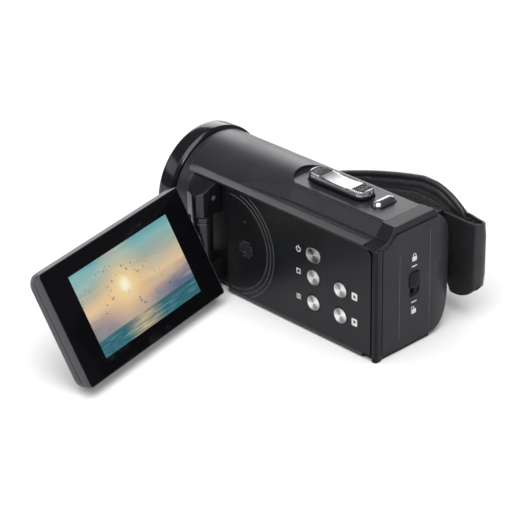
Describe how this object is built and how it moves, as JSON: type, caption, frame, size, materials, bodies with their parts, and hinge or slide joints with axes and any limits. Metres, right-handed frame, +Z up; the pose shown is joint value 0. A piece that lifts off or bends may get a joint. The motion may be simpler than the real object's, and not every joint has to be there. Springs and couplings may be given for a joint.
{
  "type": "camcorder",
  "caption": "Compact handheld camcorder with a swing-out tilting screen, padded hand strap, rear battery door and top zoom rocker.",
  "frame": {"origin": "mouth of the tripod socket in the flat base", "axes": "+Z up, -Y the way the lens looks, +X the side that carries the screen"},
  "size_m": [0.1699, 0.131, 0.061],
  "materials": {
    "shell_plastic": "satin charcoal black",
    "side_plastic": "semi-gloss black",
    "gloss_plastic": "gloss black",
    "door_plastic": "satin dark grey",
    "screen_shell": "satin grey",
    "inner_plastic": "moulded",
    "chrome_key": "bright plated",
    "spun_key": "spun",
    "hardware": "plain",
    "brass_bush": "turned",
    "optic": "coated",
    "screen_glass": "gloss black window",
    "display": "lit panel",
    "board": "lacquered board",
    "cell_wrap": "wrapped cell",
    "seal_rubber": "soft",
    "strap_fabric": "knitted mesh lining of the pad",
    "strap_leather": "grained padded cover"
  },
  "bodies": {
    "camera_body": {"top_shell": "shell_plastic", "lower_shell": "shell_plastic", "bay_liner": "inner_plastic", "side_panel": "side_plastic", "tripod_bush": "brass_bush", "base_plate": "hardware", "base_screws": "hardware", "lens_hood": "gloss_plastic", "front_collar": "shell_plastic", "lens_trim_ring": "inner_plastic", "front_lens": "optic", "lens_tube": "inner_plastic", "rear_lens": "optic", "image_sensor": "display", "sensor_board": "board", "main_board": "board", "switch_board": "board", "side_switches": "hardware", "speaker": "inner_plastic", "microphone": "hardware", "battery_pack": "cell_wrap", "battery_contacts": "hardware", "memory_card": "inner_plastic", "card_socket": "hardware", "battery_tray": "inner_plastic", "rear_frame": "gloss_plastic", "door_hinge_pin": "hardware", "rocker_saddle": "inner_plastic", "rocker_pin": "hardware", "deck_switch_board": "board", "photo_switch": "hardware", "hinge_ear_upper": "inner_plastic", "hinge_ear_lower": "inner_plastic", "hinge_pin_upper": "hardware", "hinge_pin_lower": "hardware", "strap_lug_front": "inner_plastic", "strap_lug_rear": "inner_plastic", "strap_band_front": "strap_leather", "strap_band_rear": "strap_leather", "strap_pad": "strap_leather"},
    "hinge_swivel": {"hinge_swivel": "inner_plastic"},
    "tilt_shaft": {"tilt_shaft": "hardware"},
    "screen": {"screen_rear_shell": "screen_shell", "screen_front_frame": "screen_shell", "screen_glass": "screen_glass", "screen_display": "display", "screen_board": "board", "tilt_bush": "hardware"},
    "zoom_rocker": {"zoom_rocker": "chrome_key"},
    "photo_button": {"photo_button": "chrome_key"},
    "power_button": {"power_button": "spun_key"},
    "mode_button": {"mode_button": "spun_key"},
    "menu_button": {"menu_button": "spun_key"},
    "up_button": {"up_button": "spun_key"},
    "down_button": {"down_button": "spun_key"},
    "battery_door": {"battery_door": "door_plastic", "door_seal": "seal_rubber"},
    "lock_slider": {"lock_slider": "inner_plastic"}
  },
  "joints": [
    {"name": "screen_swing", "type": "hinge", "parent": "camera_body", "child": "hinge_swivel", "pos_m": [0.0274, -0.0371, 0.025], "axis": [0, 0, 1], "range_deg": [-12.9, 77.1]},
    {"name": "screen_level", "type": "hinge", "parent": "hinge_swivel", "child": "tilt_shaft", "pos_m": [0.0274, -0.0371, 0.025], "axis": [0.9748, 0.2233, 0], "range_deg": [-29.8, 5]},
    {"name": "screen_roll", "type": "hinge", "parent": "tilt_shaft", "child": "screen", "pos_m": [0.0274, -0.0371, 0.025], "axis": [0.9748, 0.2233, 0], "range_deg": [0, 180]},
    {"name": "zoom_rock", "type": "hinge", "parent": "camera_body", "child": "zoom_rocker", "pos_m": [0, 0.0185, 0.0583], "axis": [1, 0, 0], "range_deg": [-3.5, 3.5], "stiffness_Nm_per_rad": 0.05},
    {"name": "photo_button_press", "type": "slide", "parent": "camera_body", "child": "photo_button", "axis": [0, 0, -1], "range_m": [0, 0.0006], "stiffness_N_per_m": 400},
    {"name": "power_button_press", "type": "slide", "parent": "camera_body", "child": "power_button", "axis": [-1, 0, 0], "range_m": [0, 0.0005], "stiffness_N_per_m": 400},
    {"name": "mode_button_press", "type": "slide", "parent": "camera_body", "child": "mode_button", "axis": [-1, 0, 0], "range_m": [0, 0.0005], "stiffness_N_per_m": 400},
    {"name": "menu_button_press", "type": "slide", "parent": "camera_body", "child": "menu_button", "axis": [-1, 0, 0], "range_m": [0, 0.0005], "stiffness_N_per_m": 400},
    {"name": "up_button_press", "type": "slide", "parent": "camera_body", "child": "up_button", "axis": [-1, 0, 0], "range_m": [0, 0.0005], "stiffness_N_per_m": 400},
    {"name": "down_button_press", "type": "slide", "parent": "camera_body", "child": "down_button", "axis": [-1, 0, 0], "range_m": [0, 0.0005], "stiffness_N_per_m": 400},
    {"name": "battery_door_open", "type": "hinge", "parent": "camera_body", "child": "battery_door", "pos_m": [0.0173, 0.0584, 0.03], "axis": [0, 0, -1], "range_deg": [0, 90]},
    {"name": "lock_slide", "type": "slide", "parent": "battery_door", "child": "lock_slider", "axis": [0, 0, -1], "range_m": [0, 0.0032]}
  ],
  "couplings": [
    {"joint": "screen_level", "follows": "screen_swing", "ratio": -0.36317}
  ]
}
